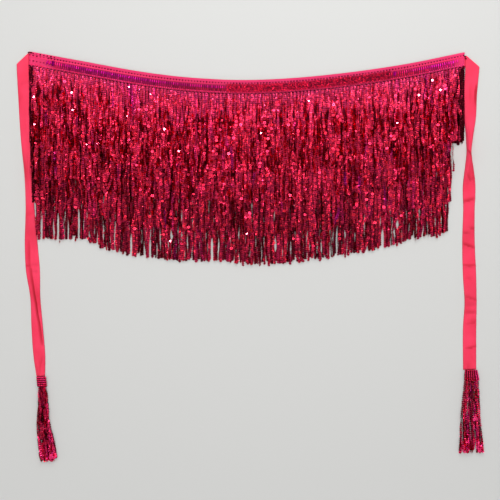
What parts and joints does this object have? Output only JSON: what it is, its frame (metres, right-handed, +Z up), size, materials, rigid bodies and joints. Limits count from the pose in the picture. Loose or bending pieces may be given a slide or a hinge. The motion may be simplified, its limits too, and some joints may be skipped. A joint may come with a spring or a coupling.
{
  "type": "hip scarf",
  "caption": "Hip scarf with a sequined waistband, overlapping tiers of sequin fringe and a tasselled ribbon tie at each end, laid flat face up.",
  "frame": {"origin": "on the surface the scarf lies on, under the middle of its whole outline", "axes": "+X along the waistband, to the right as the scarf is seen from above; +Y from the hem to the waist; +Z up, off the surface"},
  "size_m": [0.9652, 0.8447, 0.0113],
  "materials": {
    "backing_cloth": "plain dark pink knit backing, matt",
    "sequin_band": "rows of packed crimson and magenta sequins, metallic and glossy",
    "sequin_fringe": "strings of cupped crimson and magenta sequins, metallic and glossy",
    "tie_cloth": "plain hot pink woven ribbon with a soft sheen"
  },
  "bodies": {
    "root": {"backing_panel": "backing_cloth", "waistband": "sequin_band", "fringe_tier_1": "sequin_fringe", "fringe_tier_2": "sequin_fringe", "fringe_tier_3": "sequin_fringe", "fringe_tier_4": "sequin_fringe", "tie_left": "tie_cloth", "tie_right": "tie_cloth", "tassel_left": "sequin_fringe", "tassel_right": "sequin_fringe"}
  },
  "joints": []
}
